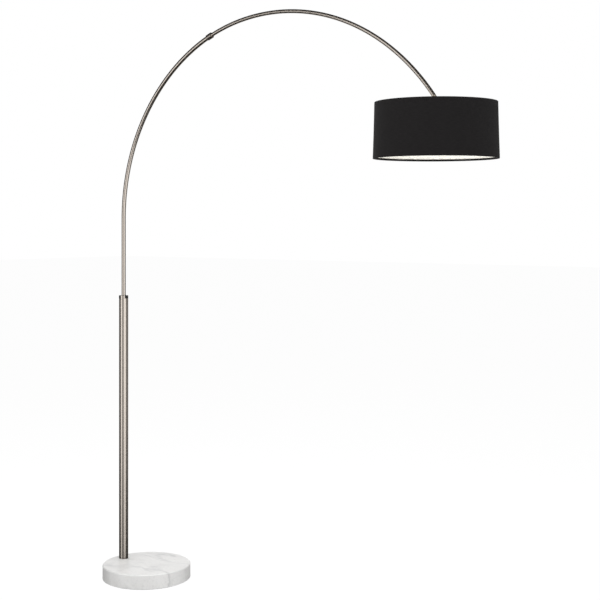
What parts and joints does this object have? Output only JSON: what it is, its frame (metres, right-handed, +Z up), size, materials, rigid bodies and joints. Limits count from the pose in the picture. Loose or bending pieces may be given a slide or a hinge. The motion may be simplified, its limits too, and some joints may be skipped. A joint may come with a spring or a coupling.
{
  "type": "arc floor lamp",
  "caption": "Arc floor lamp with a marble disc base, an upright nickel post, a two-piece telescopic arched arm that swivels, and a tilting black drum shade.",
  "frame": {"origin": "centre of the base's underside, on the floor", "axes": "+Z up, +X from the post towards the shade, so the arm lies in the XZ plane; +Y completes a right-handed frame"},
  "size_m": [1.6109, 0.396, 2.0547],
  "materials": {
    "marble": "polished white marble with soft grey veins",
    "felt": "dense grey felt",
    "black_rubber": "matte",
    "zinc_steel": "zinc plated",
    "brushed_nickel": "warm brushed nickel, brushed round the tube",
    "dark_nickel": "darker satin nickel",
    "black_nylon": "satin",
    "black_phenolic": "satin moulded",
    "brass": "plain",
    "bulb_aluminium": "plain rolled thread",
    "frosted_glass": "white frosted",
    "black_wire": "black powder coat",
    "black_fabric": "matte tight plain weave",
    "ivory_liner": "ivory white styrene"
  },
  "bodies": {
    "base": {"marble_base": "marble", "base_pad": "felt", "cable_grommet": "black_rubber", "base_washer": "zinc_steel", "base_nut": "zinc_steel", "base_stud": "zinc_steel", "post_foot_plug": "zinc_steel", "post_tube": "brushed_nickel", "post_top_bush": "black_nylon", "stem_seat_bush": "black_nylon"},
    "lower_arm": {"lower_arm_tube": "brushed_nickel", "swivel_stop_pin": "zinc_steel", "joint_collar": "dark_nickel", "collar_bush": "black_nylon", "collar_grub_screw": "dark_nickel"},
    "upper_arm": {"upper_arm_tube": "brushed_nickel", "slide_guide_plug": "black_nylon", "arm_end_tongue": "brushed_nickel"},
    "shade_head": {"tilt_fork": "brushed_nickel", "tilt_screw": "zinc_steel", "tilt_nut": "zinc_steel", "holder_nipple": "zinc_steel", "nipple_nuts": "zinc_steel", "holder_cap": "brushed_nickel", "holder_shell": "black_phenolic", "holder_insulator": "black_phenolic", "holder_screw_shell": "brass", "centre_contact": "brass", "bulb_contact": "brass", "bulb_cap": "bulb_aluminium", "bulb_glass": "frosted_glass", "shade_ring": "black_phenolic", "shade_spider": "black_wire", "bottom_rim_wire": "black_wire", "shade_fabric": "black_fabric", "shade_liner": "ivory_liner"},
    "switch": {"switch_shaft": "zinc_steel", "switch_knob": "black_phenolic"}
  },
  "joints": [
    {"name": "arm_swivel", "type": "hinge", "parent": "base", "child": "lower_arm", "pos_m": [-0.12, 0, 0.748], "axis": [0, 0, 1], "range_deg": [-90, 90]},
    {"name": "arm_extension", "type": "hinge", "parent": "lower_arm", "child": "upper_arm", "pos_m": [0.5885, 0, 1.338], "axis": [0, 1, 0], "range_deg": [-11, 14]},
    {"name": "shade_tilt", "type": "hinge", "parent": "upper_arm", "child": "shade_head", "pos_m": [1.25037, 0, 1.71303], "axis": [0, 1, 0], "range_deg": [-30, 30]},
    {"name": "switch_turn", "type": "hinge", "parent": "shade_head", "child": "switch", "pos_m": [1.25037, -0.0184, 1.67203], "axis": [0, -1, 0], "continuous": true}
  ]
}
